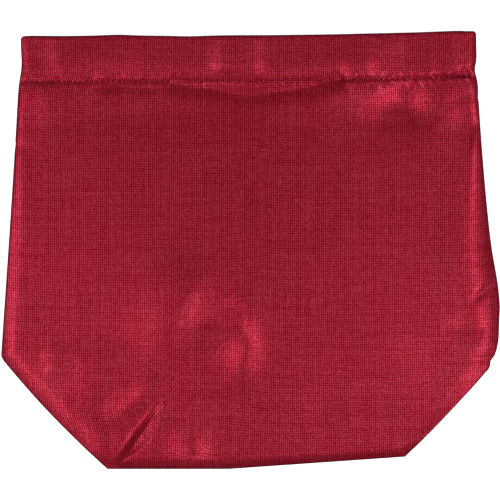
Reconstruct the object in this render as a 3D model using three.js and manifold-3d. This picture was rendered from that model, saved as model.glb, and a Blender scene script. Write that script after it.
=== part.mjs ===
// A soft toiletry pouch of coarse woven cloth, lying empty on its back with its front up.
// One cut of cloth is folded and sewn. The base is tucked up inside as a gusset, which folds
// the lower corners at 45 degrees. A wide casing along each edge of the mouth holds a dished
// spring strip, and the two strips snap the mouth shut.

import * as THREE from 'three';
import { LoftGeometry } from 'three/addons/geometries/LoftGeometry.js';
import { mergeVertices } from 'three/addons/utils/BufferGeometryUtils.js';
import ManifoldModule from 'manifold-3d';

// Driving dimensions in millimetres. X runs across the bag, Y from the base fold to the mouth, Z up.
const bagLength = 190.6; // base fold to mouth edge, at the left end of the mouth
const mouthWidth = 200.4; // across the casing
const widestWidth = 219.2; // across the two folded corners
const cornerHeight = 49; // base fold to folded corner, half the depth of the base
const baseWidth = 129; // length of the base fold between the two corner folds
const baseShift = 2.6; // the middle of the base fold lies this far to the right
const baseRise = 5.9; // the right end of the base fold is rolled up this far
const mouthRise = 2; // the right end of the mouth stands this far above its left end
const bentCornerHeight = 71; // the right corner is bent under, so that side is widest up here
const casingHeight = 20.2; // mouth edge to the row of stitches
const casingEndRadius = 2.6; // rounding of the casing where the cloth wraps its ends
const lipRadius = 0.8; // rounding of the folded mouth edges
const seamDepth = 0.7; // how deep the stitches pull the cloth in
const seamReach = 1.6; // how far that reaches to either side of the stitches
const bellyThickness = 16; // ground to the top of the front at its fullest
const shoulderHeight = 9; // ground to the front just inside the side folds
const shoulderWidth = 5.5; // width of the rounded strip along the folds
const foldHeight = 4.6; // ground to the side folds
const clothThickness = 0.6;
const gussetGap = 2.4; // between the two halves of the tucked base, at the base fold
const mouthGap = 5.2; // between the two casings
const stripThickness = 0.3;
const stripDish = 0.6; // rise of the dished strip across its width
const stripEndMargin = 3.9; // casing end to strip end
const stripEdgeMargin = 2.4; // strip to mouth edge, and strip to stitches
const stripCornerRadius = 4;
const clearance = 0.3; // free space round a strip in its casing
const slitLength = 9; // gap in the inner layer of a casing, where its strip is fed in

// How the outline is drawn: the sides flare from the mouth by a power, the corners are blended.
const flareLeft = 1.15;
const flareRight = 1.6;
const cornerBlendLeft = 1.5;
const cornerBlendRight = 12;
const bulgePower = 0.85; // below 1 the belly is fullest nearer the base
const meetingPower = 4; // how tightly the rounded strips of two meeting folds run into each other
const baseRiseStart = -9; // the base fold is straight up to here, then rises to its right end
const foldStart = 0.05; // the skin starts this blunt at the base fold, inside the gusset's gap

// Fineness of the surfaces.
const frontColumns = 22;
const backColumns = 3;
const rowStep = 7;
const foldSteps = 4; // steps over the rounding of a fold
const stripFacets = 6;
const mergeReach = 1e-4; // vertices closer than this are one

// Worked out from the driving dimensions.
const seamAt = bagLength - casingHeight;
const pocketDepth = stripThickness + stripDish + 2 * clearance;
const casingThickness = 2 * clothThickness + pocketDepth;
const mouthThickness = mouthGap + 2 * casingThickness;
const mouthTilt = Math.atan2(mouthRise, mouthWidth);
const stripLength = mouthWidth - 2 * stripEndMargin;
const stripWidth = casingHeight - 2 * stripEdgeMargin;
const beyond = 12; // how far a cutting solid runs past the faces that it cuts

// Soft forms of the front: a hump or hollow at (x, y), its two half-widths, its turn and its height.
const softForms = [
  { x: 2, y: 161, along: 30, across: 5, turn: 0, height: -2 }, // valley under the casing
  { x: -58, y: 163, along: 9, across: 4, turn: 0, height: -1.2 }, // small dip left of it
  { x: 45, y: 160, along: 4, across: 14, turn: 0.15, height: 1.4 }, // pucker below the stitches
  { x: 76, y: 158, along: 5, across: 14, turn: -0.1, height: 1.4 }, // pucker near the right end
  { x: -49, y: 15, along: 22, across: 3, turn: 0.95, height: -1.8 }, // crease from the base fold
  { x: -58, y: 15, along: 20, across: 5, turn: 0.95, height: 1.6 }, // lip that overlaps that crease
  { x: -23, y: 8, along: 4, across: 12, turn: 0.1, height: -1 }, // nick in the base fold
  { x: -14, y: 104, along: 14, across: 10, turn: 0.4, height: 0.8 }, // slack cloth in the middle
  { x: -3, y: 84, along: 12, across: 7, turn: 0.5, height: -0.8 },
  { x: 6, y: 68, along: 12, across: 8, turn: 0.5, height: 0.8 },
  { x: 96, y: 66, along: 9, across: 4, turn: 0.9, height: -1.2 }, // dimple by the right corner
];

const { lerp, clamp, smoothstep } = THREE.MathUtils;
const manifold = await ManifoldModule();
manifold.setup();

function softMin(first, second, blend) {
  const overlap = Math.max(blend - Math.abs(first - second), 0) / blend;
  return Math.min(first, second) - (overlap * overlap * blend) / 4;
}

// Half-width of one side at height y: the flared side above, the corner fold below.
function sideReach(y, widestAt, flare, baseEnd, blend) {
  const down = clamp((bagLength - y) / (bagLength - widestAt), 0, 1);
  const side = lerp(mouthWidth / 2, widestWidth / 2, down ** flare);
  const fold = baseEnd + ((widestWidth / 2 - baseEnd) * y) / cornerHeight;
  return softMin(side, fold, blend);
}

function leftReach(y) {
  return sideReach(y, cornerHeight, flareLeft, baseWidth / 2 - baseShift, cornerBlendLeft);
}

function rightReach(y) {
  return sideReach(y, bentCornerHeight, flareRight, baseWidth / 2 + baseShift, cornerBlendRight);
}

// Length of the outline for each millimetre of height, which turns a width into a true distance.
function stretch(reach, y) {
  const probe = 0.5;
  const slope = (reach(y + probe) - reach(Math.max(y - probe, 0))) / (2 * probe);
  return Math.hypot(1, slope);
}

// One where the cloth is in the casing, zero on the body of the bag.
function inCasing(y) {
  return smoothstep(y, seamAt - casingHeight, seamAt);
}

function softForm(x, y) {
  let height = 0;
  for (const form of softForms) {
    const dx = x - form.x;
    const dy = y - form.y;
    const u = (dx * Math.cos(form.turn) + dy * Math.sin(form.turn)) / form.along;
    const v = (dy * Math.cos(form.turn) - dx * Math.sin(form.turn)) / form.across;
    height += form.height * Math.exp(-u * u - v * v);
  }
  return height;
}

// Height of the front away from its folds: shoulders, belly and soft forms.
function frontHeight(x, y, across) {
  const shoulder = lerp(shoulderHeight, mouthThickness, inCasing(y));
  const bulge = Math.sin(Math.PI * clamp(y / seamAt, 0, 1) ** bulgePower);
  const belly = (bellyThickness - shoulderHeight) * (1 - across * across) * bulge;
  return shoulder + belly + softForm(x, y) * (1 - inCasing(y) ** 4);
}

// Distance to the nearest of several folds, eased where two of them meet.
function nearest(...distances) {
  if (Math.min(...distances) <= 0) return 0;
  const sum = distances.reduce((total, distance) => total + distance ** -meetingPower, 0);
  return sum ** (-1 / meetingPower);
}

// Share of the full height at a distance from a fold, as a quarter of an ellipse.
function quarterRound(distance, width) {
  const share = 1 - clamp(distance / width, 0, 1);
  return Math.sqrt(1 - share * share);
}

// The rolled base fold and the tilted mouth.
function skew(point) {
  const right = baseShift + baseWidth / 2;
  const roll = clamp((point.x - baseRiseStart) / (right - baseRiseStart), 0, 1);
  const nearBase = clamp(1 - point.y / cornerHeight, 0, 1);
  const nearMouth = smoothstep(point.y, cornerHeight, seamAt);
  point.y += baseRise * roll * nearBase + nearMouth * mouthRise * (point.x / mouthWidth + 0.5);
  return point;
}

// Distances from a fold over its rounding, close together at the fold itself.
function foldPlaces(width) {
  const places = [];
  for (let turn = 0; turn < foldSteps; turn += 1) {
    places.push(width * (1 - Math.cos((turn / foldSteps) * (Math.PI / 2))));
  }
  return places;
}

// Even places from one value to another, without the last one.
function evenPlaces(from, to, count) {
  return Array.from({ length: count }, (_, index) => lerp(from, to, index / count));
}

// Points of one section across the bag, from its left fold to its right fold. The front lies above
// the level of the folds, the back below it.
function sectionSide(y, columns, inset, heightAt) {
  const middle = lerp(foldHeight, mouthThickness / 2, inCasing(y));
  const width = lerp(shoulderWidth, casingEndRadius, inCasing(y)) - inset;
  const leftStretch = stretch(leftReach, y);
  const rightStretch = stretch(rightReach, y);
  const left = inset * leftStretch - leftReach(y);
  const right = rightReach(y) - inset * rightStretch;
  const rounding = foldPlaces(width);
  const places = [
    ...rounding.map((place) => left + place * leftStretch),
    ...evenPlaces(left + width * leftStretch, right - width * rightStretch, columns),
    right - width * rightStretch,
    ...rounding.reverse().map((place) => right - place * rightStretch),
  ];
  return places.map((x) => {
    const across = (2 * (x - left)) / (right - left) - 1;
    const toSides = [(x - left) / leftStretch, (right - x) / rightStretch];
    const distance = nearest(...toSides, y - inset + foldStart);
    const z = lerp(middle, heightAt(x, across), quarterRound(distance, width));
    return skew(new THREE.Vector3(x, y, z));
  });
}

// One closed section. inset pulls the side folds in, depth pulls the front and the back in.
function section(y, inset, depth) {
  const front = sectionSide(y, frontColumns, inset, (x, across) => frontHeight(x, y, across) - depth);
  const back = sectionSide(y, backColumns, inset, () => depth);
  return [...front, ...back.reverse().slice(1, -1)];
}

// Heights of the sections: close together over the base fold and the stitches, even between them.
function sectionHeights(inset) {
  const bodyStart = inset + shoulderWidth;
  const bodyEnd = seamAt - 2 * seamReach;
  return [
    ...foldPlaces(shoulderWidth).map((place) => inset + place),
    ...evenPlaces(bodyStart, cornerHeight, Math.ceil((cornerHeight - bodyStart) / rowStep)),
    ...evenPlaces(cornerHeight, bodyEnd, Math.ceil((bodyEnd - cornerHeight) / rowStep)),
    ...evenPlaces(bodyEnd, seamAt + 2 * seamReach, 4),
    seamAt + 2 * seamReach,
    seamAt + casingHeight / 2,
    bagLength - lipRadius,
    bagLength,
  ];
}

// How far the stitches pull the cloth in at height y.
function stitchPull(y) {
  return seamDepth * Math.exp(-(((y - seamAt) / seamReach) ** 2));
}

// How far the lips of the mouth are rounded at height y.
function lipRounding(y) {
  return lipRadius * (1 - quarterRound(bagLength - y, lipRadius));
}

function outerSkin() {
  const sections = sectionHeights(0).map((y) => section(y, 0, lipRounding(y) + stitchPull(y)));
  return new LoftGeometry(sections, { capStart: true, capEnd: true });
}

// The hollow of the bag, running out through the mouth.
function innerSkin() {
  const heights = [...sectionHeights(clothThickness), bagLength + beyond];
  const sections = heights.map((y) => {
    const layers = smoothstep(y, seamAt - casingHeight / 4, seamAt);
    const wall = lerp(clothThickness, casingThickness, layers) - lipRounding(y);
    return section(y, clothThickness, wall);
  });
  return new LoftGeometry(sections, { capStart: true, capEnd: true });
}

// The space between the two halves of the tucked base, or that space with the cloth round it.
function gussetWedge(cloth) {
  const halfGap = (gussetGap / 2) * (1 + beyond / cornerHeight) + cloth;
  const profile = new THREE.Shape();
  profile.moveTo(-beyond, foldHeight - halfGap);
  profile.lineTo(cornerHeight, foldHeight - cloth);
  if (cloth > 0) profile.lineTo(cornerHeight + cloth, foldHeight);
  profile.lineTo(cornerHeight, foldHeight + cloth);
  profile.lineTo(-beyond, foldHeight + halfGap);
  return alongX(profile, widestWidth + 2 * beyond);
}

// Extrudes a profile drawn in Y and Z along X, centred on X = 0.
function alongX(profile, length) {
  const geometry = new THREE.ExtrudeGeometry(profile, {
    depth: length,
    bevelEnabled: false,
    curveSegments: stripFacets,
  });
  geometry.translate(0, 0, -length / 2);
  const yzx = new THREE.Matrix4().makeBasis(
    new THREE.Vector3(0, 1, 0),
    new THREE.Vector3(0, 0, 1),
    new THREE.Vector3(1, 0, 0),
  );
  return geometry.applyMatrix4(yzx);
}

// Merges the shared vertices of a closed geometry and makes it a solid.
function toSolid(geometry) {
  const bare = new THREE.BufferGeometry();
  bare.setAttribute('position', geometry.attributes.position);
  bare.setIndex(geometry.index);
  const merged = mergeVertices(bare, mergeReach);
  const corners = merged.index.array;
  const kept = [];
  for (let start = 0; start < corners.length; start += 3) {
    const [a, b, c] = corners.subarray(start, start + 3);
    if (a !== b && b !== c && c !== a) kept.push(a, b, c);
  }
  return new manifold.Manifold(
    new manifold.Mesh({
      numProp: 3,
      vertProperties: new Float32Array(merged.attributes.position.array),
      triVerts: new Uint32Array(kept),
    }),
  );
}

function toMesh(name, solid, material) {
  const { vertProperties, triVerts } = solid.getMesh();
  const geometry = new THREE.BufferGeometry();
  geometry.setAttribute('position', new THREE.BufferAttribute(new Float32Array(vertProperties), 3));
  geometry.setIndex(new THREE.BufferAttribute(new Uint32Array(triVerts), 1));
  geometry.computeVertexNormals();
  const mesh = new THREE.Mesh(geometry, material);
  mesh.name = name;
  return mesh;
}

// Puts a piece made about the origin into a casing, at height z, turned with the tilted mouth.
function inPlace(geometry, x, z) {
  geometry.translate(x, 0, 0);
  geometry.rotateZ(mouthTilt);
  return geometry.translate(0, seamAt + casingHeight / 2 + mouthRise / 2, z);
}

const frontPocketAt = mouthThickness - clothThickness - pocketDepth / 2;
const backPocketAt = clothThickness + pocketDepth / 2;
const innerLayerOffset = (pocketDepth + clothThickness) / 2;

function pocket(z) {
  const box = new THREE.BoxGeometry(
    stripLength + 2 * clearance,
    stripWidth + 2 * clearance,
    pocketDepth,
  );
  return toSolid(inPlace(box, 0, z));
}

function feedSlit(z) {
  const box = new THREE.BoxGeometry(slitLength, stripWidth, 2 * clothThickness);
  return toSolid(inPlace(box, (stripLength - slitLength) / 2, z));
}

function bagBody() {
  const hollow = toSolid(innerSkin()).subtract(toSolid(gussetWedge(clothThickness)));
  let body = toSolid(outerSkin()).subtract(toSolid(gussetWedge(0))).subtract(hollow);
  for (const z of [frontPocketAt, backPocketAt]) body = body.subtract(pocket(z));
  body = body.subtract(feedSlit(frontPocketAt - innerLayerOffset));
  return body.subtract(feedSlit(backPocketAt + innerLayerOffset));
}

// A dished strip with rounded corners. turn is 0 for an arch that rises, Math.PI for one that hangs.
function springStrip(turn, z) {
  const half = stripWidth / 2;
  const low = -(stripDish + stripThickness) / 2;
  const arch = new THREE.Shape();
  arch.moveTo(-half, low);
  arch.quadraticCurveTo(0, low + 2 * stripDish, half, low);
  arch.lineTo(half, low + stripThickness);
  arch.quadraticCurveTo(0, low + stripThickness + 2 * stripDish, -half, low + stripThickness);
  const band = alongX(arch, stripLength);
  const plan = new THREE.Shape();
  const radius = Math.min(stripCornerRadius, half);
  const straight = stripLength / 2 - radius;
  const flank = half - radius;
  plan.absarc(straight, flank, radius, 0, Math.PI / 2);
  plan.absarc(-straight, flank, radius, Math.PI / 2, Math.PI);
  plan.absarc(-straight, -flank, radius, Math.PI, 1.5 * Math.PI);
  plan.absarc(straight, -flank, radius, 1.5 * Math.PI, 2 * Math.PI);
  const blank = new THREE.ExtrudeGeometry(plan, {
    depth: 2 * beyond,
    bevelEnabled: false,
    curveSegments: stripFacets,
  });
  blank.translate(0, 0, -beyond);
  band.rotateX(turn);
  return toSolid(inPlace(band, 0, z)).intersect(toSolid(inPlace(blank, 0, z)));
}

const wovenPolyester = new THREE.MeshStandardMaterial({ color: 0x941d2f, roughness: 0.6, metalness: 0 });
const springSteel = new THREE.MeshStandardMaterial({ color: 0xa9adb2, roughness: 0.35, metalness: 1 });

const pouch = new THREE.Group();
pouch.add(
  toMesh('bag_body', bagBody(), wovenPolyester),
  toMesh('spring_strip_front', springStrip(0, frontPocketAt), springSteel),
  toMesh('spring_strip_back', springStrip(Math.PI, backPocketAt), springSteel),
);

// The origin is on the ground, under the middle of the bag.
const extent = new THREE.Box3().setFromObject(pouch);
const centre = extent.getCenter(new THREE.Vector3());
pouch.position.set(-centre.x, -centre.y, -extent.min.z);

export default pouch;
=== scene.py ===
import math
import bmesh
import bpy
import numpy as np
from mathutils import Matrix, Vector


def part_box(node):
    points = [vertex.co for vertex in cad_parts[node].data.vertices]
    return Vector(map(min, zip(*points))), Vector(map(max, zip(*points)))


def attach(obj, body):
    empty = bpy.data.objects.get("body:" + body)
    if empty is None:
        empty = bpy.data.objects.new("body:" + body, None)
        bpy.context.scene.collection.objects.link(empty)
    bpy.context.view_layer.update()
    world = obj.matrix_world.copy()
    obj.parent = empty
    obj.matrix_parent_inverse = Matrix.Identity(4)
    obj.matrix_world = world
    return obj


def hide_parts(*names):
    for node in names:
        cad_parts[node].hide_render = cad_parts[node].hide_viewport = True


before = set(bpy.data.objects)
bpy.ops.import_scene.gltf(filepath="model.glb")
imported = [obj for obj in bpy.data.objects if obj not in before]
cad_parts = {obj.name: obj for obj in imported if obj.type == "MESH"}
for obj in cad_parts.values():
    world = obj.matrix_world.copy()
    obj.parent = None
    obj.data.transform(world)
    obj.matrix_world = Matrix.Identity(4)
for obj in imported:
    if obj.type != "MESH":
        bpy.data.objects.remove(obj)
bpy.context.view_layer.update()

mm = 0.001
tiny = 1e-6

# The cloth is worked out in millimetres on the bag's own axes: u across from the middle of the
# bag, v up from the base fold to the mouth, z up from the ground. bagOrigin puts it in the frame.
bagLow, bagHigh = (np.array(corner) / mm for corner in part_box("bag_body"))
bagOrigin = np.array([(bagLow[0] + bagHigh[0]) / 2, bagLow[1], bagLow[2]])

# Pairs are (left, right), unless a note says otherwise. The right corner is bent under, so that side
# is widest higher up.
bag = {
    "length": 190.6,              # base fold to mouth edge
    "mouthHalf": (100.6, 99.5),
    "widestHalf": (109.4, 109.6),
    "widestAt": (50, 71),
    "flare": (1.15, 1.6),         # power of the curve of each side
    "baseHalf": (62.7, 68.4),     # ends of the base fold
    "cornerHeight": 49,
    "cornerBlend": (1.5, 9),      # rounding between a side and its corner fold
    "cornerBow": (1.8, 0.6),      # the corner folds bow out
    "baseRise": 5.4,              # the right end of the base fold is rolled up
    "baseRiseStart": -9,
    "mouthRise": 2.5,             # the mouth tilts up at its right end
    "mouthBend": 3.5,             # power of the curve of that tilt
    "casingHeight": 20.2,
    "casingDepth": 2.7,           # outer to inner layer of a casing, over its spring strip
    "casingLean": 0.6,            # the front casing is lower at the mouth than at the stitches
    "mouthThickness": 10.6,
    "foldHeight": 4.6,            # ground to the side folds
    "foldTurn": 0.8,              # radius of the cloth right at a fold
    "casingRim": 4,               # widths of the curve from a fold up to the full height
    "baseRim": 5.5,
    "backRim": 6,
    "baseDrop": 1.9,              # the base fold lies this much nearer the ground
    "baseDropReach": 8,
    "liftBlend": 50,              # the left folds' lift turns into the right ones' within this half-width
    "liftRise": 12,               # height at which the lift is whole
    "belly": 3.6,                 # how far the middle stands above the shoulders
    "bellyRise": (62, 90),        # from the base fold and from the stitches to its full height
    "bellyFoot": (-8, 0.35),      # where it starts to rise, and the share of it that is there at once
    "bellyPower": 1.5,            # power of its section, a parabola
    "gussetGap": 1.8,             # between the two halves of the tucked base
    "gussetSpread": 0.6,          # power of how the halves part below the corners
    "foldRadius": 1.3,            # radius of the tucked base at its folds
    "thickness": 0.5,
}
# height of the shoulders, width of the curve up to them and lift of the folds above the middle of the
# bag, low on the bag, half way and high, and the heights between which one turns into the next
shoulders = {"low": (9.6, 9.8), "half": (10, 10.4), "high": (10.2, 10.2)}
rims = {"low": (9, 8), "half": (7, 12), "high": (3.6, 4.2)}
lifts = {"low": (0.1, 3.0), "half": (3.1, 0.4), "high": (3.5, 2.8)}
turnsTo = {"half": (14, 78), "high": (90, 150)}
# small kinks of the outline: side (0 left, 1 right), height, how far out, half-width
kinks = [
    (1, 80, 0.95, 13),
    (1, 47.8, -0.8, 1.4),
    (1, 43.6, 0.5, 1.5),
    (0, 142.4, -0.3, 1.2),
    (1, 161.5, -0.3, 1.2),
    (0, 177.5, -0.9, 7),
    (1, 173, -1, 3.5),
]
# waves of the mouth edge: place, how far up, half-width
mouthWaves = [(-82, -0.15, 8), (-58, 0.45, 8), (-27, -0.3, 8), (96, -0.3, 3)]
crease = [(-61.2, 0), (-41.0, 27.2)]  # the sharp crease in the lower left, which the mesh follows
creaseTop = 38                        # the mesh's columns bend along it up to here
seamAt = bag["length"] - bag["casingHeight"]

# Folds of the slack cloth, above 0 for ridges and below for valleys. Each follows a path of (u, v) and
# reaches so far to the left and right of it. sharp is the power by which it falls off, 2 for a smooth
# bell, and fades are the shares of the path in which it comes up and dies away.
folds = {
    # the casing
    "casing wave 1": {
        "height": 1.2, "reach": (5.5, 14), "sharp": 2, "fades": (0.5, 0.1),
        "path": [(-80, 169.5), (-82.5, 181), (-84.5, 192.5)],
    },
    "casing wave 2": {
        "height": 0.35, "reach": (4, 12), "sharp": 2, "fades": (0.45, 0.1),
        "path": [(-47.5, 169.5), (-48.5, 192.5)],
    },
    "casing wave 3": {
        "height": 1.3, "reach": (5, 12), "sharp": 2, "fades": (0.4, 0.1),
        "path": [(-12, 169.5), (-11.5, 181), (-10, 192.5)],
    },
    "casing wave 4": {
        "height": 1.05, "reach": (12, 4), "sharp": 2, "fades": (0.4, 0.1),
        "path": [(1.5, 169.5), (1, 192.5)],
    },
    "casing wave 5": {
        "height": 0.95, "reach": (5, 10), "sharp": 2, "fades": (0.45, 0.1),
        "path": [(42.5, 169.5), (46.5, 181), (50.5, 192.5)],
    },
    "casing wave 6": {
        "height": 0.5, "reach": (8, 4), "sharp": 2, "fades": (0.2, 0.6),
        "path": [(50.5, 169.5), (50.5, 177.5), (49, 187)],
    },
    "casing wave 7": {
        "height": 0.85, "reach": (10, 4), "sharp": 2, "fades": (0.6, 0.1),
        "path": [(64.5, 173), (63.5, 184.5), (62.5, 193.5)],
    },
    "casing wave 8": {
        "height": 0.7, "reach": (4, 8), "sharp": 2, "fades": (0.15, 0.1),
        "path": [(84.5, 169.5), (83.5, 192.5)],
    },
    "casing wave 9": {
        "height": 0.5, "reach": (8, 4), "sharp": 2, "fades": (0.15, 0.1),
        "path": [(90, 169.5), (89, 192.5)],
    },
    # under the stitches
    "slack valley": {
        "height": -2.4, "reach": (4, 4), "sharp": 1.6, "fades": (0.12, 0.1),
        "path": [(-41, 170.5), (-28, 168.5), (-16.5, 167), (0, 164.5),
                 (21, 167), (35.5, 169.5), (43.5, 170.5)],
    },
    "left smudge": {
        "height": -1.7, "reach": (7, 3.5), "sharp": 1.7, "fades": (0.4, 0.5),
        "path": [(-71.5, 167.5), (-60.5, 168.5), (-47, 168)],
    },
    "left smudge 2": {
        "height": -1.2, "reach": (6, 3), "sharp": 2, "fades": (0.5, 0.5),
        "path": [(-55.5, 165), (-46, 168), (-36.5, 167)],
    },
    "shallow slope": {
        "height": -1.1, "reach": (16, 10.5), "sharp": 2, "fades": (0.4, 0.4),
        "path": [(-99, 157.5), (-53, 158.5), (-0.5, 158), (38.5, 158.5)],
    },
    "pillow end": {
        "height": 0.9, "reach": (6, 5), "sharp": 2, "fades": (0.2, 0.5),
        "path": [(40.5, 171.5), (39.5, 166), (37, 157)],
    },
    "pucker": {
        "height": 0.35, "reach": (4, 5), "sharp": 1.8, "fades": (0.35, 0.25),
        "path": [(53, 159.5), (59, 170.5)],
    },
    # the tent under the right end of the stitches
    "tent floor": {
        "height": -1.4, "reach": (10, 15), "sharp": 2, "fades": (0.45, 0.4),
        "path": [(44, 162), (64.5, 162.5), (83, 162)],
    },
    "tent crease left": {
        "height": -0.8, "reach": (4.5, 9), "sharp": 1.6, "fades": (0.45, 0.45),
        "path": [(67.5, 168), (60, 155), (53, 142)],
    },
    "tent crease right": {
        "height": -2, "reach": (8, 4.5), "sharp": 1.6, "fades": (0.45, 0.45),
        "path": [(61.5, 169.5), (70, 157), (77, 145)],
    },
    # along the sides
    "left end": {
        "height": 0.75, "reach": (7.5, 4.5), "sharp": 2, "fades": (0.5, 0.2),
        "path": [(-85, 145.5), (-87, 160.5), (-88.5, 171)],
    },
    "left nick": {
        "height": -0.7, "reach": (1.5, 2), "sharp": 1.7, "fades": (0, 0.7),
        "path": [(-106.5, 144), (-100.5, 142), (-93, 139)],
    },
    "right crease": {
        "height": -0.4, "reach": (3, 1.5), "sharp": 1.7, "fades": (0.4, 0),
        "path": [(85.5, 157.5), (91.5, 160), (100, 162.5)],
    },
    "right dip": {
        "height": -1.1, "reach": (5, 10), "sharp": 2, "fades": (0.6, 0.2),
        "path": [(81, 152), (93.5, 150.5), (102, 147.5)],
    },
    "right slant": {
        "height": 0.3, "reach": (12, 10), "sharp": 2, "fades": (0.5, 0.5),
        "path": [(82.5, 78.5), (92, 94), (91.5, 115.5)],
    },
    # the bent right corner
    "corner crease": {
        "height": -1.1, "reach": (2, 1.5), "sharp": 1.5, "fades": (0, 0.35),
        "path": [(110, 83.5), (104, 79), (96.5, 72.5)],
    },
    "corner valley": {
        "height": -0.7, "reach": (4, 4.5), "sharp": 2, "fades": (0.5, 0.2),
        "path": [(83.5, 61.5), (94.5, 63), (105, 59.5)],
    },
    "diagonal": {
        "height": 0.6, "reach": (8.5, 16), "sharp": 2, "fades": (0.5, 0.5),
        "path": [(45.5, 75.5), (61, 56.5), (85, 52.5)],
    },
    # the arch low in the middle
    "arch valley": {
        "height": -2.4, "reach": (8, 6.5), "sharp": 1.5, "fades": (0.22, 0.5),
        "path": [(-5, 29.5), (-3, 43.5), (-1.5, 54.5), (-4.5, 62),
                 (-12, 66), (-21, 64.5), (-30, 51.5)],
    },
    "arch rim": {
        "height": 0.9, "reach": (5, 4), "sharp": 2, "fades": (0.4, 0.5),
        "path": [(-12, 76), (-1.5, 72.5), (8, 64)],
    },
    "arch shoulder": {
        "height": 2, "reach": (16, 8), "sharp": 2, "fades": (0.45, 0.45),
        "path": [(-47.5, 47), (-31.5, 72), (-15.5, 96.5)],
    },
    # the lower left, with its sharp crease
    "lower left 1": {
        "height": 0.6, "reach": (3.5, 8.5), "sharp": 2, "fades": (0.5, 0.5),
        "path": [(-88.5, 32.5), (-86.5, 47), (-87, 61)],
    },
    "lower left 2": {
        "height": 0.75, "reach": (7, 13), "sharp": 2, "fades": (0.5, 0.5),
        "path": [(-77.5, 26.5), (-72, 46.5), (-71.5, 59.5)],
    },
    "thumb": {
        "height": 1, "reach": (4, 6), "sharp": 2, "fades": (0.4, 0.4),
        "path": [(-61, 19), (-52, 28), (-43, 36.5), (-37, 29)],
    },
    "thumb crease": {
        "height": -0.4, "reach": (3, 4), "sharp": 1.5, "fades": (0.3, 0.5),
        "path": [(-66, 17.5), (-65.5, 26), (-62.5, 32.5), (-55.5, 37.5)],
    },
    "sharp crease": {
        "height": -2.9, "reach": (0.9, 0.9), "sharp": 1.3, "fades": (0, 0.45),
        "path": [(-61.2, -0.5), (-51.1, 13.6), (-38.4, 30.6)],
    },
    "crease left lip": {
        "height": -1.15, "reach": (6.5, 1.5), "sharp": 2, "fades": (0.1, 0.3),
        "path": [(-63, -1), (-53.5, 15.5), (-41, 31)],
    },
    "crease right lip": {
        "height": 1, "reach": (1.5, 8), "sharp": 2, "fades": (0.1, 0.3),
        "path": [(-57.5, 1.5), (-44.5, 12), (-36.5, 25.5)],
    },
    # along the base fold
    "base valley": {
        "height": -1.6, "reach": (9, 6), "sharp": 1.5, "fades": (0, 0.6),
        "path": [(-24.5, -2), (-24.5, 10.5), (-26.5, 22.5)],
    },
    "base ridge": {
        "height": 0.5, "reach": (8, 6), "sharp": 2, "fades": (0, 0.6),
        "path": [(-36, -2), (-37, 10.5), (-39.5, 19.5)],
    },
    "low slope": {
        "height": -0.35, "reach": (6, 10), "sharp": 2, "fades": (0.5, 0.5),
        "path": [(30, 11), (29, 26), (29, 39.5)],
    },
}


# smooth step from 0 at low to 1 at high
def ease(x, low, high):
    t = np.clip((x - low) / (high - low), 0, 1)
    return t * t * (3 - 2 * t)


# a straight mix: a at share 0, b at share 1
def mix(a, b, share):
    return a + (b - a) * share


# bell curve: 1 at x = 0, falling off over the half-width
def bell(x, halfWidth):
    return np.exp(-((x / halfWidth) ** 2))


# the smaller of two values, rounded off where they are within blend of each other
def softMin(a, b, blend):
    near = np.maximum(blend - np.abs(a - b), 0) / blend
    return np.minimum(a, b) - near * near * blend / 4


# quarter of a circle: height share at a share of its radius in from the fold
def quarterRound(share):
    return np.sqrt(1 - (1 - np.clip(share, 0, 1)) ** 2)


# half-width of one side at height v: the flared side above the corner, the bowed corner fold below
def reach(v, side):
    down = np.clip((bag["length"] - v) / (bag["length"] - bag["widestAt"][side]), 0, 1)
    flared = mix(bag["mouthHalf"][side], bag["widestHalf"][side], down ** bag["flare"][side])
    up = v / bag["cornerHeight"]
    fold = mix(bag["baseHalf"][side], bag["widestHalf"][side], up)
    fold = fold + bag["cornerBow"][side] * np.sin(np.pi * np.clip(up, 0, 1))
    kink = sum(out * bell(v - at, width) for kinkSide, at, out, width in kinks if kinkSide == side)
    return softMin(flared, fold, bag["cornerBlend"][side]) + kink


# length of the outline for each millimetre of height, to turn widths into true distances
def stretch(v, side):
    half = 0.5
    return np.hypot(1, reach(v + half, side) - reach(np.maximum(v - half, 0), side))


# 0 up to a casing's height below the stitches, 1 from the stitches up
def inCasing(v):
    return ease(v, seamAt - bag["casingHeight"], seamAt)


# 1 at the base fold, 0 from the top of the corner folds up
def belowCorners(v):
    return np.clip(1 - v / bag["cornerHeight"], 0, 1)


# a value given low on the bag, half way and high, for one side
def byHeight(table, v, side):
    low, half, high = (table[name][side] for name in ("low", "half", "high"))
    return mix(mix(low, half, ease(v, *turnsTo["half"])), high, ease(v, *turnsTo["high"]))


# how far a point is from the folds, as shares of their rim widths, joined to a soft minimum: the root
# of the sum of their negative powers
def foldShare(u, v, widths, inset=0):
    power = 4.0
    shares = []
    for side, sign in ((0, -1), (1, 1)):
        across = (reach(v, side) - inset - sign * u) / stretch(v, side)
        shares.append(np.maximum(across, tiny) / widths[side])
    shares.append(np.maximum(v, tiny) / widths[2])
    return sum(share ** -power for share in shares) ** (-1 / power)


# widths of the curves up from the left fold, the right fold and the base fold
def rimWidths(v):
    sides = [mix(byHeight(rims, v, side), bag["casingRim"], inCasing(v)) for side in (0, 1)]
    return sides + [bag["baseRim"]]


# height of the middle of the bag: that of the side folds, lower along the base fold, and half the
# mouth's thickness in the casing
def middleLevel(v):
    drop = bag["baseDrop"] * ease(bag["baseDropReach"] - v, 0, bag["baseDropReach"])
    return mix(bag["foldHeight"] - drop, bag["mouthThickness"] / 2, inCasing(v))


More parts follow.
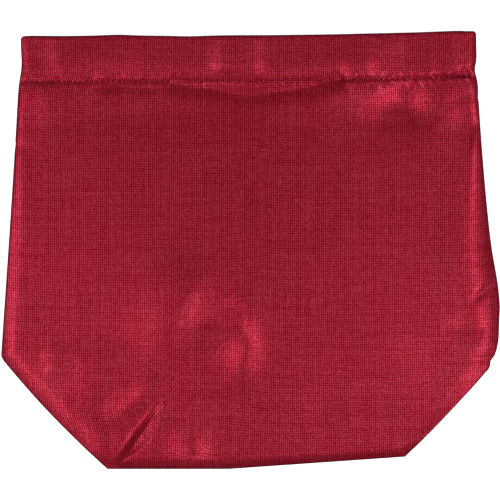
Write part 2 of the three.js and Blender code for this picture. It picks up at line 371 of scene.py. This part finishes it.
# level of the folds: the middle of the bag and their lift, and apart for front and back below the
# corners, where the lift is that of the front alone
def foldLevel(u, v, sign):
    below = belowCorners(v)
    toRight = ease(u, -bag["liftBlend"], bag["liftBlend"])
    lift = mix(byHeight(lifts, v, 0), byHeight(lifts, v, 1), toRight) * ease(v, 0, bag["liftRise"])
    if sign < 0:
        lift = lift * (1 - below) ** 2
    apart = (bag["gussetGap"] / 2 + bag["foldRadius"]) * below ** bag["gussetSpread"]
    return middleLevel(v) + lift + sign * apart


# shoulders mixed from side to side, with the belly between them, and the leaning casing above
def frontHeight(u, v):
    left, right = reach(v, 0), reach(v, 1)
    share = (u + left) / (left + right)
    shoulder = mix(byHeight(shoulders, v, 0), byHeight(shoulders, v, 1), share)
    foot, footShare = bag["bellyFoot"]
    fromBase, fromSeam = bag["bellyRise"]
    bulge = ease(seamAt - v, 0, fromSeam) * mix(footShare, 1, ease(v, foot, fromBase))
    section = np.clip(1 - (2 * share - 1) ** 2, 0, 1) ** bag["bellyPower"]
    up = np.clip((v - seamAt) / bag["casingHeight"], 0, 1)
    casing = bag["mouthThickness"] + bag["casingLean"] * (0.5 - up)
    return mix(shoulder, casing, inCasing(v)) + bag["belly"] * section * bulge


# distance from a smooth path, with its sign (left of the way the path runs is above 0), and how far
# along the path from 0 to 1
def pathDistance(u, v, path):
    piecesPerSpan = 6
    points = np.array(path, float)
    turns = np.linspace(0, len(points) - 1, piecesPerSpan * (len(points) - 1) + 1)
    ends = np.concatenate([2 * points[:1] - points[1:2], points, 2 * points[-1:] - points[-2:-1]])
    at = np.minimum(turns.astype(int), len(points) - 2)
    t = (turns - at)[:, None]
    a, b, c, d = (ends[at + i] for i in range(4))
    # Catmull-Rom curve through the points
    line = b + 0.5 * t * (c - a + t * (2 * a - 5 * b + 4 * c - d + t * (3 * (b - c) + d - a)))
    step = np.diff(line, axis=0)
    fromStart = np.stack([u, v], axis=-1)[..., None, :] - line[:-1]
    share = np.clip((fromStart * step).sum(-1) / (step ** 2).sum(-1), 0, 1)
    gap = fromStart - share[..., None] * step
    away = np.linalg.norm(gap, axis=-1)
    nearest = away.argmin(-1)[..., None]
    side = np.sign(step[:, 0] * gap[..., 1] - step[:, 1] * gap[..., 0])
    signed = np.take_along_axis(away * side, nearest, -1)[..., 0]
    along = np.take_along_axis((np.arange(len(step)) + share) / len(step), nearest, -1)[..., 0]
    return signed, along


# a fold falls off from its path to both sides, and fades at its ends
def foldForm(u, v, fold):
    signed, along = pathDistance(u, v, fold["path"])
    width = np.where(signed > 0, fold["reach"][0], fold["reach"][1])
    form = fold["height"] * np.exp(-((np.abs(signed) / width) ** fold["sharp"]))
    first, last = fold["fades"]
    if first:
        form = form * ease(along, 0, first)
    if last:
        form = form * ease(1 - along, 0, last)
    return form


# all folds added up
def foldForms(u, v):
    return sum(foldForm(u, v, fold) for fold in folds.values())


stitch = {
    "pitch": 2.4,
    "length": 1.7,
    "radius": 0.22,
    "stand": 0.6,            # a stitch's middle lies this share of its radius above the cloth
    "sink": 0.25,            # its ends dive into the cloth
    "taper": 0.9,            # and get thinner
    "rings": 7,
    "sides": 6,
    "endMargin": 1.8,
    "tackLength": 12,        # the seam is sewn back and forth at its right end
    "tackMargin": 0.5,
    "tackOffset": 0.4,       # up and down from the seam
    "tackShift": 1,          # the way back lies this far beside the way out
    "tackPitch": 0.8,        # shares of the seam's pitch and radius
    "tackRadius": 1.2,
    "pull": 0.7,             # how deep the thread draws the cloth in
    "pullReach": 0.8,
    "pullBetween": 0.6,      # share of the pull between two needle holes
    "pullRound": (0.35, 3.5),  # depth and half-width of the shallow groove round it
    "pullBack": 0.6,         # share of the pull on the back
}
pucker = {
    "heights": (0.08, 0.28),  # left and right of where they grow
    "grow": (15, 80),
    "halfWidth": 3,
    # turn for each mm, slant, shift and share of each wave
    "waves": [(1.53, 0.5, 0, 1), (1.0, -0.35, 1, 0.7), (2.3, 0, 2, 0.6)],
}
seamLeft = -reach(np.array(seamAt), 0) + stitch["endMargin"]
seamRight = reach(np.array(seamAt), 1) - stitch["endMargin"]


# the thread draws a narrow groove, deepest at the needle holes, with a shallow one round it
def seamPull(u, v):
    up = v - seamAt
    hole = 0.5 + 0.5 * np.cos(2 * np.pi * (u - seamLeft) / stitch["pitch"])
    groove = bell(up, stitch["pullReach"]) * mix(stitch["pullBetween"], 1, hole)
    depth, halfWidth = stitch["pullRound"]
    return stitch["pull"] * groove + depth * bell(up, halfWidth)


# slanting puckers on both sides of the stitches: waves of a few stitches' length that die away
def puckers(u, v):
    up = v - seamAt
    waves = 0
    for turn, slant, shift, share in pucker["waves"]:
        waves = waves + share * np.sin(turn * (u + slant * up) + shift)
    height = mix(*pucker["heights"], ease(u, *pucker["grow"]))
    return height * waves * bell(up, pucker["halfWidth"])


# from a fold up to the full height: a tight quarter turn of the cloth, then a parabola
def rolled(u, v, level, full, widths):
    turn = bag["foldTurn"]
    sign = np.sign(full - level)
    start = level + sign * turn * quarterRound(foldShare(u, v, [turn] * 3))
    share = np.clip(foldShare(u, v, widths), 0, 1)
    return start + (full - level - sign * turn) * (1 - (1 - share) ** 2)


# the front: its height with the seam, the puckers and the folds, rolled down to the folds at its edge
def frontZ(u, v):
    full = frontHeight(u, v) - seamPull(u, v) + puckers(u, v) + foldForms(u, v)
    return rolled(u, v, foldLevel(u, v, 1), full, rimWidths(v))


# the back lies on the ground, apart from its seam, and rolls up to the folds
def backZ(u, v):
    widths = [np.minimum(width, bag["backRim"]) for width in rimWidths(v)]
    return rolled(u, v, foldLevel(u, v, -1), stitch["pullBack"] * seamPull(u, v), widths)


# one half of the tucked base, lying behind the front (sign 1) or the back (sign -1): a quarter round
# from the folds to a flat level
def gussetZ(u, v, sign):
    level = foldLevel(u, v, sign)
    flat = middleLevel(v) + sign * bag["gussetGap"] / 2 * belowCorners(v)
    return level + (flat - level) * quarterRound(foldShare(u, v, [bag["foldRadius"]] * 3))


# the rolled base fold and the tilted, wavy mouth move the rows up or down
def skewed(u, v):
    roll = np.clip((u - bag["baseRiseStart"]) / (bag["baseHalf"][1] - bag["baseRiseStart"]), 0, 1)
    nearMouth = ease(v, bag["cornerHeight"], seamAt)
    tilt = np.clip(u / (2 * bag["mouthHalf"][1]) + 0.5, 0, 1) ** bag["mouthBend"]
    waves = sum(up * bell(u - at, width) for at, up, width in mouthWaves)
    rise = bag["mouthRise"] * nearMouth * tilt + waves * ease(v, seamAt, bag["length"])
    return v + bag["baseRise"] * roll * belowCorners(v) + rise


# points (x, y, z) of the cloth on the bag's axes
def placed(u, v, z):
    return np.stack([u, skewed(u, v), z], axis=-1)


# share of the width at which the crease, carried on upwards, crosses height v
def creaseShare(v):
    height = np.clip(v, 0, creaseTop)
    along = (height - crease[0][1]) / (crease[1][1] - crease[0][1])
    u = mix(crease[0][0], crease[1][0], along)
    return (u + reach(height, 0)) / (reach(height, 0) + reach(height, 1))


creasePlace = float(creaseShare(np.array(creaseTop)))


# places from 0 to 1 that draw closer near each (place, width, gain)
def spread(count, clusters):
    samples = 4001
    t = np.linspace(0, 1, samples)
    density = 1 + sum(gain * bell(t - at, width) for at, width, gain in clusters)
    total = np.concatenate([[0], np.cumsum(density[1:] + density[:-1])])
    return np.interp(np.linspace(0, 1, count), total / total[-1], t)


# heights above start, in even steps up to each (height, steps) in turn
def rowsThrough(start, stretches):
    rows = []
    for end, steps in stretches:
        rows.append(np.linspace(start, end, steps + 1)[1:])
        start = end
    return np.concatenate(rows)


# grid of u and v: rows at heights v, columns at shares of the width, squeezed so that one of them
# runs along the crease, and drawn in at the ends by inset
def sheetGrid(rows, places, inset=0):
    v = np.repeat(rows[:, None], len(places), axis=1)
    left, right = reach(v, 0) - inset, reach(v, 1) - inset
    knot = creaseShare(v)
    lower = places * knot / creasePlace
    upper = 1 - (1 - places) * (1 - knot) / (1 - creasePlace)
    return -left + (left + right) * np.where(places < creasePlace, lower, upper), v


# Rows as (height they reach, steps). They lie closest at the base fold and along the stitches.
sheet = {
    "baseTurn": (6, 8),
    "creaseRows": (34, 36),
    "cornerSteps": 10,
    "archRows": (82, 37),
    "frontSteps": 45,
    "seamZone": (7.5, 3),     # the closest rows run from so far below the stitches to so far above them
    "seamSteps": 28,
    "casingSteps": 15,
    "lipSteps": 7,
    "hemSteps": 13,
    "columns": 157,
    "crowded": [(0, 0.02, 6), (1, 0.04, 3), (creasePlace, 0.014, 6)],  # the side folds and the crease
    "closer": 3,              # the front's columns are this many times as close along the stitches
    "wider": 6,               # and this many times as far apart on the back and the base
}
# The hem is the end of the cloth, turned over at the mouth and sewn down inside the casing.
hem = {
    "reach": 4,               # it runs this far past the stitches
    "inset": 1.6,             # and ends this far inside the side folds
    "tuckEnd": 4,             # from its edge to this far above the stitches it parts from the outer layer
    "edgeGap": 1.3,           # outer layer to hem at its edge
    "sideGap": 0.35,          # middle of the bag to hem at the side folds
    "cornerPower": 0.3,       # the lip is drawn in at its ends by this power of the rim
}
lipRadius = bag["casingDepth"] / 2
lipAt = bag["length"] - lipRadius
fineFrom, fineTo = seamAt - sheet["seamZone"][0], seamAt + sheet["seamZone"][1]
turnHeight, turnSteps = sheet["baseTurn"]
gussetRows = np.concatenate([
    turnHeight * (1 - np.cos(np.linspace(0, np.pi / 2, turnSteps + 1))),
    rowsThrough(turnHeight, [sheet["creaseRows"], (bag["cornerHeight"], sheet["cornerSteps"])]),
])
outerRows = np.concatenate([gussetRows, rowsThrough(bag["cornerHeight"], [
    sheet["archRows"],
    (fineFrom, sheet["frontSteps"]),
    (fineTo, sheet["seamSteps"]),
    (lipAt, sheet["casingSteps"]),
])])
hemRows = np.linspace(lipAt, seamAt - hem["reach"], sheet["hemSteps"] + 1)
fine = (outerRows > fineFrom + tiny) & (outerRows < fineTo - tiny)  # the rows along the stitches
columns = spread(sheet["columns"], sheet["crowded"])
fewColumns = columns[::sheet["wider"]]


# places two, three ... times as close, between the given ones
def between(values, times):
    steps = np.arange((values.shape[-1] - 1) * times + 1)
    at = np.minimum(steps // times, values.shape[-1] - 2)
    return mix(values[..., at], values[..., at + 1], (steps - at * times) / times)


# one panel: up the outside from the base fold to the mouth, over the lip, and down the hem inside
def panel(sign, places):
    u, v = sheetGrid(outerRows, places)
    outer = placed(u, v, frontZ(u, v) if sign > 0 else backZ(u, v))
    u, v = sheetGrid(hemRows, places, hem["inset"])
    rounding = quarterRound(foldShare(u, v, [bag["casingRim"]] * 2 + [1], hem["inset"]))
    level = (bag["mouthThickness"] if sign > 0 else 0) - sign * bag["casingDepth"]
    tuck = ease(v, seamAt - hem["reach"], seamAt + hem["tuckEnd"])
    # valleys of the front press its hem down too
    pressed = np.minimum(foldForms(u, v), 0) if sign > 0 else 0
    z = mix(level + sign * (bag["casingDepth"] - hem["edgeGap"]) + pressed, level, tuck)
    side = foldLevel(u, v, sign) + sign * hem["sideGap"]
    inner = placed(u, v, side + (z - side) * rounding)
    # half a turn from the last outer row to the first hem row
    turn = np.linspace(0, np.pi, sheet["lipSteps"] + 1)[1:-1, None, None]
    lip = (outer[-1] + inner[0]) / 2 + (outer[-1] - inner[0]) / 2 * np.cos(turn)
    lip[..., 1] += lipRadius * rounding[0] ** hem["cornerPower"] * np.sin(turn[..., 0])
    return np.concatenate([outer, lip, inner])


# the points of one half of the tucked base
def gusset(sign, places):
    u, v = sheetGrid(gussetRows, places)
    return placed(u, v, gussetZ(u, v, sign))


# cloth's own coordinates in mm: lengths along the row from its middle and along the column, each
# taken in its own upright plane, so that the threads stay straight where the columns fan out
def clothCoordinates(grid, start):
    step = np.diff(grid, axis=1)
    across = np.cumsum(np.hypot(step[..., 0], step[..., 2]), axis=1)
    across = np.concatenate([np.zeros((len(grid), 1)), across], axis=1)
    middle = [grid.shape[1] // 2]
    across += grid[:, middle, 0] - across[:, middle]
    step = np.diff(grid, axis=0)
    along = np.cumsum(np.hypot(step[..., 1], step[..., 2]), axis=0)
    along = np.concatenate([grid[:1, :, 1], grid[:1, :, 1] + along])
    return np.stack([across, along + start], axis=-1)


# where each sheet's weave begins, in mm
weaveStart = {"front": 0, "back": 400, "frontBase": -60, "backBase": -160}


# A sheet is a list of rows: their points and their cloth coordinates. The front has more columns
# along the stitches.
def frontSheet():
    coarse = panel(1, columns)
    marks = clothCoordinates(coarse, weaveStart["front"])
    u, v = sheetGrid(outerRows[fine], between(columns, sheet["closer"]))
    close = placed(u, v, frontZ(u, v))
    seamMarks = np.moveaxis(marks[:len(fine)][fine], -1, 1)
    closeMarks = np.moveaxis(between(seamMarks, sheet["closer"]), 1, -1)
    first = int(fine.argmax())
    last = first + int(fine.sum())
    points = list(coarse[:first]) + list(close) + list(coarse[last:])
    return points, list(marks[:first]) + list(closeMarks) + list(marks[last:])


# the back, with few columns
def backSheet():
    points = panel(-1, fewColumns)
    return list(points), list(clothCoordinates(points, weaveStart["back"]))


# half of the base: the one behind the front starts with the front's own columns along the base fold
def baseSheet(sign):
    points = gusset(sign, fewColumns)
    marks = clothCoordinates(points, weaveStart["frontBase" if sign > 0 else "backBase"])
    points, marks = list(points), list(marks)
    if sign > 0:
        points[0] = gusset(sign, columns)[0]
        marks[0] = between(marks[0].T, sheet["wider"]).T
    return points, marks


# faces between two rows of points, one of which may have a whole number of times as many
def stripFaces(low, high, flip):
    few = min(len(low), len(high)) - 1
    first = np.arange(few)[:, None]
    spans = []
    for row in (low, high):
        step = (len(row) - 1) // few
        spans.append(row[first * step + np.arange(step + 1)])
    faces = np.concatenate([spans[0], spans[1][:, ::-1]], axis=1)
    return faces[:, ::-1] if flip else faces


# an object at the origin with the given mesh, camera or light, linked to the scene
def linkedObject(name, data):
    obj = bpy.data.objects.new(name, data)
    bpy.context.scene.collection.objects.link(obj)
    return obj


# one mesh from several sheets, with their cloth coordinates as its UV map, merged where they meet
def meshFrom(name, sheets, flips):
    mergeWithin = 0.002 * mm
    points, marks, faces = [], [], []
    count = 0
    for (rows, rowMarks), flip in zip(sheets, flips):
        ends = count + np.cumsum([0] + [len(row) for row in rows])
        ids = [np.arange(a, b) for a, b in zip(ends[:-1], ends[1:])]
        points += rows
        marks += rowMarks
        for low, high in zip(ids[:-1], ids[1:]):
            faces += stripFaces(low, high, flip).tolist()
        count = ends[-1]
    mesh = bpy.data.meshes.new(name)
    mesh.from_pydata((np.concatenate(points) + bagOrigin) * mm, [], faces)
    corners = np.zeros(len(mesh.loops), np.int32)
    mesh.loops.foreach_get("vertex_index", corners)
    layer = mesh.uv_layers.new(name="cloth")
    layer.data.foreach_set("uv", np.concatenate(marks)[corners].astype(np.float32).ravel())
    mesh.polygons.foreach_set("use_smooth", np.ones(len(mesh.polygons), bool))
    merged = bmesh.new()
    merged.from_mesh(mesh)
    bmesh.ops.remove_doubles(merged, verts=merged.verts, dist=mergeWithin)
    merged.to_mesh(mesh)
    merged.free()
    mesh.update()
    return linkedObject(name, mesh)


bagCloth = meshFrom(
    "bag_cloth",
    [frontSheet(), backSheet(), baseSheet(1), baseSheet(-1)],
    [False, True, True, False],
)
wall = bagCloth.modifiers.new("cloth thickness", "SOLIDIFY")
wall.thickness = bag["thickness"] * mm
wall.offset = -1  # inwards
print("bag cloth:", len(bagCloth.data.vertices), "points,", len(folds), "folds")


# Stitches as small capsules that follow the cloth: rings along each stitch, with their ends sunk.
def stitchGrid(centres, offset, radius, sign):
    t = np.linspace(-1, 1, stitch["rings"])[None, :, None]
    angle = np.linspace(0, 2 * np.pi, stitch["sides"], endpoint=False)[None, None, :]
    u = centres[:, None, None] + t * stitch["length"] / 2
    v = np.full_like(u, seamAt) + offset
    surface = frontZ(u, v) if sign > 0 else backZ(u, v)
    z = surface + sign * (radius * stitch["stand"] - stitch["sink"] * t ** 2)
    ring = radius * np.sqrt(1 - stitch["taper"] * t ** 4)
    points = placed(u, v, z) + np.zeros(angle.shape + (3,))
    points[..., 1] += ring * np.cos(angle)
    points[..., 2] += ring * np.sin(angle)
    return points


# one mesh of all the stitches: quads between their rings and a cap at each end
def stitchMesh(name, groups):
    points = np.concatenate(groups)
    count, rings, around = points.shape[:3]
    corner = np.arange(count * rings * around).reshape(count, rings, around)
    turned = np.roll(corner, -1, axis=2)
    quads = np.stack([corner[:, :-1], turned[:, :-1], turned[:, 1:], corner[:, 1:]], axis=-1)
    caps = np.concatenate([corner[:, 0, ::-1], corner[:, -1]])
    mesh = bpy.data.meshes.new(name)
    faces = quads.reshape(-1, 4).tolist() + caps.tolist()
    mesh.from_pydata((points.reshape(-1, 3) + bagOrigin) * mm, [], faces)
    mesh.polygons.foreach_set("use_smooth", np.ones(len(mesh.polygons), bool))
    return linkedObject(name, mesh)


# the middle of each stitch lies half way between two needle holes
seamStitches = np.arange(seamLeft + stitch["pitch"] / 2, seamRight, stitch["pitch"])
tackStitches = np.arange(seamRight - stitch["tackLength"], seamRight - stitch["tackMargin"],
                         stitch["pitch"] * stitch["tackPitch"])
tackRadius = stitch["radius"] * stitch["tackRadius"]
stitchRows = [
    stitchMesh("stitches_" + name, [
        stitchGrid(seamStitches, 0, stitch["radius"], sign),
        stitchGrid(tackStitches, stitch["tackOffset"], tackRadius, sign),
        stitchGrid(tackStitches + stitch["tackShift"], -stitch["tackOffset"], tackRadius, sign),
    ])
    for name, sign in (("front", 1), ("back", -1))
]
print("stitches:", 2 * (len(seamStitches) + 2 * len(tackStitches)))


# sRGB hex colour to linear
def linear(code):
    parts = np.array([int(code[i:i + 2], 16) for i in (0, 2, 4)]) / 255
    return tuple(np.where(parts <= 0.04045, parts / 12.92, ((parts + 0.055) / 1.055) ** 2.4)) + (1.0,)


# adds a node with its settings, and links or sets its inputs
def addNode(tree, kind, inputs=None, **settings):
    node = tree.nodes.new(kind)
    for name, value in settings.items():
        setattr(node, name, value)
    for socket, value in (inputs or {}).items():
        if isinstance(value, bpy.types.NodeSocket):
            tree.links.new(value, node.inputs[socket])
        else:
            node.inputs[socket].default_value = value
    return node


# an empty material and its node tree
def newMaterial(name):
    material = bpy.data.materials.new(name)
    material.use_nodes = True
    material.node_tree.nodes.clear()
    return material, material.node_tree


weave = {
    "warp": 0.915,           # mm between the threads that run up the bag, as the photograph shows them
    "weft": 1.11,            # and between those across it
    # the holes' colour is painted shade, the tops' pink colour a painted highlight
    "colours": ((0.0, "6e0004"), (0.5, "a80c24"), (1.0, "df5472")),  # holes, threads, their tops
    "wander": 0.2,           # how far the threads stray, in mm
    "wanderLength": 20,      # and over what length
    "slub": 0.22,            # how much one thread differs from the next
    "slubThreads": 1.25,     # threads to a change
    "slubRun": 0.03,         # changes along a thread for each change across
    "glint": 0.3,            # how much one crossing differs from the next
    "tops": 0.31,            # share of the pattern where both waves crest
    "ribs": 0.24,            # where the upright threads crest
    "rows": 0.012,           # and where those across do
    "gloss": 0.56,           # how metallic the tops are, for a highlight in the fibre's own colour
    "roughness": 0.385,
    "specular": 0.15,
    "tint": "ff95aa",
    "bump": 0.3,
    "relief": 0.12,          # mm
}


# Red polyester in a coarse plain weave: rows of glossy thread tops and dark holes by turns, with duller
# cross threads between them.
# The holes' dark colour is painted shade and the tops' pink colour is a painted highlight, beside the bump.
# The gloss is that of coloured fibre, so it is tinted.
def wovenPolyester():
    material, tree = newMaterial("woven polyester")
    uv = addNode(tree, "ShaderNodeUVMap", uv_map="cloth")
    stray = addNode(tree, "ShaderNodeTexNoise",
                    {"Vector": uv.outputs["UV"], "Scale": 1 / weave["wanderLength"], "Detail": 2.0},
                    noise_dimensions="2D")
    bent = addNode(tree, "ShaderNodeVectorMath",
                   {0: stray.outputs["Color"], 1: (weave["wander"],) * 3, 2: uv.outputs["UV"]},
                   operation="MULTIPLY_ADD")
    counted = addNode(tree, "ShaderNodeVectorMath",
                      {0: bent.outputs["Vector"], 1: (1 / weave["warp"], 1 / weave["weft"], 0)},
                      operation="MULTIPLY")
    axes = addNode(tree, "ShaderNodeSeparateXYZ", {"Vector": counted.outputs["Vector"]})
    waves, slubs = [], []
    for axis, stretched in (("X", (1, weave["slubRun"], 1)), ("Y", (weave["slubRun"], 1, 1))):
        turn = addNode(tree, "ShaderNodeMath", {0: axes.outputs[axis], 1: 2 * math.pi},
                       operation="MULTIPLY")
        wave = addNode(tree, "ShaderNodeMath", {0: turn.outputs[0]}, operation="COSINE")
        along = addNode(tree, "ShaderNodeVectorMath", {0: counted.outputs["Vector"], 1: stretched},
                        operation="MULTIPLY")
        slub = addNode(tree, "ShaderNodeTexNoise",
                       {"Vector": along.outputs["Vector"], "Scale": 1 / weave["slubThreads"]},
                       noise_dimensions="2D")
        waves.append(wave.outputs[0])
        slubs.append(slub.outputs["Fac"])
    # tops and holes stand where both waves crest, so the product of the waves counts most
    tops = addNode(tree, "ShaderNodeMath", {0: waves[1], 1: weave["tops"], 2: weave["ribs"]},
                   operation="MULTIPLY_ADD")
    dots = addNode(tree, "ShaderNodeMath", {0: waves[0], 1: tops.outputs[0]}, operation="MULTIPLY")
    rows = addNode(tree, "ShaderNodeMath", {0: waves[1], 1: weave["rows"], 2: dots.outputs[0]},
                   operation="MULTIPLY_ADD")
    # each crossing, two to a thread, has a brightness of its own
    halves = addNode(tree, "ShaderNodeVectorMath", {0: counted.outputs["Vector"], 1: (2, 2, 0)},
                     operation="MULTIPLY")
    crossing = addNode(tree, "ShaderNodeVectorMath", {0: halves.outputs["Vector"]}, operation="FLOOR")
    glint = addNode(tree, "ShaderNodeTexWhiteNoise", {"Vector": crossing.outputs["Vector"]},
                    noise_dimensions="2D")
    both = addNode(tree, "ShaderNodeMath", {0: slubs[0], 1: slubs[1]}, operation="ADD")
    middle = 0.5 - weave["slub"] - weave["glint"] / 2
    threads = addNode(tree, "ShaderNodeMath", {0: both.outputs[0], 1: weave["slub"], 2: middle},
                      operation="MULTIPLY_ADD")
    uneven = addNode(tree, "ShaderNodeMath",
                     {0: glint.outputs["Value"], 1: weave["glint"], 2: threads.outputs[0]},
                     operation="MULTIPLY_ADD")
    pattern = addNode(tree, "ShaderNodeMath", {0: rows.outputs[0], 1: uneven.outputs[0]},
                      operation="ADD", use_clamp=True).outputs[0]
    # the pattern picks the base colour: painted shade in the holes, painted highlight on the tops
    colour = addNode(tree, "ShaderNodeValToRGB", {"Fac": pattern})
    colour.color_ramp.elements.new(weave["colours"][1][0])
    for stop, (place, code) in zip(colour.color_ramp.elements, weave["colours"]):
        stop.position = place
        stop.color = linear(code)
    gloss = addNode(tree, "ShaderNodeMath", {0: pattern, 1: weave["gloss"]}, operation="MULTIPLY")
    relief = addNode(tree, "ShaderNodeBump",
                     {"Strength": weave["bump"], "Distance": weave["relief"] * mm, "Height": pattern})
    shader = addNode(tree, "ShaderNodeBsdfPrincipled", {
        "Base Color": colour.outputs["Color"],
        "Metallic": gloss.outputs[0],
        "Specular IOR Level": weave["specular"],
        "Specular Tint": linear(weave["tint"]),
        "Roughness": weave["roughness"],
        "Normal": relief.outputs["Normal"],
    })
    addNode(tree, "ShaderNodeOutputMaterial", {"Surface": shader.outputs["BSDF"]})
    return material


bagCloth.data.materials.append(wovenPolyester())
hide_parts("bag_body")
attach(bagCloth, "root")

thread = {
    "plies": (0.6, 0.4),     # mm to a band of the twist, along the seam and across it
    # the darker colour is painted shade in the grooves of the twist, the lighter one painted light on its
    # crests
    "colours": ("4a0410", "7c0c20"),
    "roughness": 0.5,
    "specular": 0.15,
    "tint": "ff95aa",
    "bump": 0.4,
    "relief": 0.08,          # mm
}


# Polyester sewing thread, a little darker than the cloth: two plies twisted together, which give it
# slanting light and dark bands, painted into its colour as well as its bump: painted shade in the grooves
# of the twist, painted light on its crests. They are drawn coarser than they are so that they show.
def sewingThread():
    material, tree = newMaterial("polyester thread")
    place = addNode(tree, "ShaderNodeTexCoord")
    turns = [2 * math.pi / (size * mm) for size in thread["plies"]]
    along = addNode(tree, "ShaderNodeVectorMath", {0: place.outputs["Object"], 1: (*turns, 0)},
                    operation="DOT_PRODUCT")
    plies = addNode(tree, "ShaderNodeMath", {0: along.outputs["Value"]}, operation="SINE")
    share = addNode(tree, "ShaderNodeMath", {0: plies.outputs[0], 1: 0.5, 2: 0.5}, operation="MULTIPLY_ADD")
    # painted shade and painted light of the twist, in the colour
    colour = addNode(tree, "ShaderNodeValToRGB", {"Fac": share.outputs[0]})
    for stop, code in zip(colour.color_ramp.elements, thread["colours"]):
        stop.color = linear(code)
    relief = addNode(tree, "ShaderNodeBump", {
        "Strength": thread["bump"],
        "Distance": thread["relief"] * mm,
        "Height": share.outputs[0],
    })
    shader = addNode(tree, "ShaderNodeBsdfPrincipled", {
        "Base Color": colour.outputs["Color"],
        "Specular IOR Level": thread["specular"],
        "Specular Tint": linear(thread["tint"]),
        "Roughness": thread["roughness"],
        "Normal": relief.outputs["Normal"],
    })
    addNode(tree, "ShaderNodeOutputMaterial", {"Surface": shader.outputs["BSDF"]})
    return material


threadMaterial = sewingThread()
for row in stitchRows:
    row.data.materials.append(threadMaterial)
    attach(row, "root")

tape = {
    "streak": (83.3, 0.625, 0.625),  # mm, along the tape and across it
    "colours": ("9da1a5", "c8cbcd"),
    "roughness": (0.42, 0.22),       # of the dark streaks and the bright ones
}


# Bright spring steel tape: fine streaks along it from rolling, which stretch the highlights. They are
# drawn coarser than they are so that they show.
def springSteel():
    material, tree = newMaterial("rolled spring steel")
    place = addNode(tree, "ShaderNodeTexCoord")
    scales = [1 / (size * mm) for size in tape["streak"]]
    drawn = addNode(tree, "ShaderNodeVectorMath", {0: place.outputs["Object"], 1: scales},
                    operation="MULTIPLY")
    streaks = addNode(tree, "ShaderNodeTexNoise",
                      {"Vector": drawn.outputs["Vector"], "Scale": 1.0, "Detail": 3.0})
    colour = addNode(tree, "ShaderNodeValToRGB", {"Fac": streaks.outputs["Fac"]})
    for stop, code in zip(colour.color_ramp.elements, tape["colours"]):
        stop.color = linear(code)
    dark, bright = tape["roughness"]
    dull = addNode(tree, "ShaderNodeMath", {0: streaks.outputs["Fac"], 1: bright - dark, 2: dark},
                   operation="MULTIPLY_ADD")
    shader = addNode(tree, "ShaderNodeBsdfPrincipled", {
        "Base Color": colour.outputs["Color"],
        "Metallic": 1.0,
        "Roughness": dull.outputs[0],
    })
    addNode(tree, "ShaderNodeOutputMaterial", {"Surface": shader.outputs["BSDF"]})
    return material


steel = springSteel()
for strip in ("spring_strip_front", "spring_strip_back"):
    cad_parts[strip].data.materials.clear()
    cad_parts[strip].data.materials.append(steel)
print("materials: woven polyester, thread, spring steel")

# The camera looks straight down from far off, as the photograph does.
view = {
    "pixel": 0.44,       # size of one pixel of the photograph, in mm
    "frame": 500,
    "distance": 1600,
    "level": 6,          # height at which the outline is seen
    "middle": (249.75, 250.6),  # pixel of the middle of the bag's box
    "sensor": 36,
    "clipEnd": 10,       # metres
}
camera = bpy.data.cameras.new("camera")
camera.sensor_width = view["sensor"]
camera.lens = view["sensor"] * view["distance"] / (view["pixel"] * view["frame"])
camera.clip_end = view["clipEnd"]
cameraObject = linkedObject("camera", camera)
boxMiddle = (bagLow + bagHigh) / 2
aimX = (view["frame"] / 2 - view["middle"][0]) * view["pixel"]
aimY = (view["middle"][1] - view["frame"] / 2) * view["pixel"]
cameraObject.location = (
    (boxMiddle[0] + aimX) * mm,
    (boxMiddle[1] + aimY) * mm,
    (view["level"] + view["distance"]) * mm,
)
bpy.context.scene.camera = cameraObject

# Two softboxes, left and right of the bag and nearer its base, in metres and watts.
softbox = {"place": (0.74, -0.26, 1.055), "size": (0.8, 0.5), "power": 8.2}
studio = {
    "white": "ffffff",
    "fill": 0.03,            # light from all round
    "floor": "ededed",
    "floorRoughness": 0.9,
    "floorGlow": 1.0,
    "floorHalf": 3.0,        # metres
}


# a rectangular light that faces the origin
def areaLight(name, place, size, power):
    light = bpy.data.lights.new(name, "AREA")
    light.shape = "RECTANGLE"
    light.size, light.size_y = size
    light.energy = power
    obj = linkedObject(name, light)
    obj.location = place
    obj.rotation_euler = (-obj.location).to_track_quat("-Z", "Y").to_euler()


for name, sign in (("left softbox", -1), ("right softbox", 1)):
    x, y, z = softbox["place"]
    areaLight(name, (sign * x, y, z), softbox["size"], softbox["power"])

world = bpy.data.worlds.new("studio")
bpy.context.scene.world = world
world.use_nodes = True
world.node_tree.nodes["Background"].inputs["Color"].default_value = linear(studio["white"])
world.node_tree.nodes["Background"].inputs["Strength"].default_value = studio["fill"]
bpy.context.scene.view_settings.view_transform = "Standard"


# a flat white floor that glows, so that it shows as the photograph's plain white
def studioFloor():
    mesh = bpy.data.meshes.new("floor")
    half = studio["floorHalf"]
    mesh.from_pydata([(-half, -half, 0), (half, -half, 0), (half, half, 0), (-half, half, 0)], [],
                     [(0, 1, 2, 3)])
    obj = linkedObject("floor", mesh)
    material, tree = newMaterial("white floor")
    shader = addNode(tree, "ShaderNodeBsdfPrincipled", {
        "Base Color": linear(studio["floor"]),
        "Roughness": studio["floorRoughness"],
        "Emission Color": linear(studio["white"]),
        "Emission Strength": studio["floorGlow"],
    })
    addNode(tree, "ShaderNodeOutputMaterial", {"Surface": shader.outputs["BSDF"]})
    mesh.materials.append(material)
    # it is far larger than the photograph's, so it lights nothing itself
    obj.visible_diffuse = False
    obj.visible_glossy = False


studioFloor()
print("camera, lights and floor")
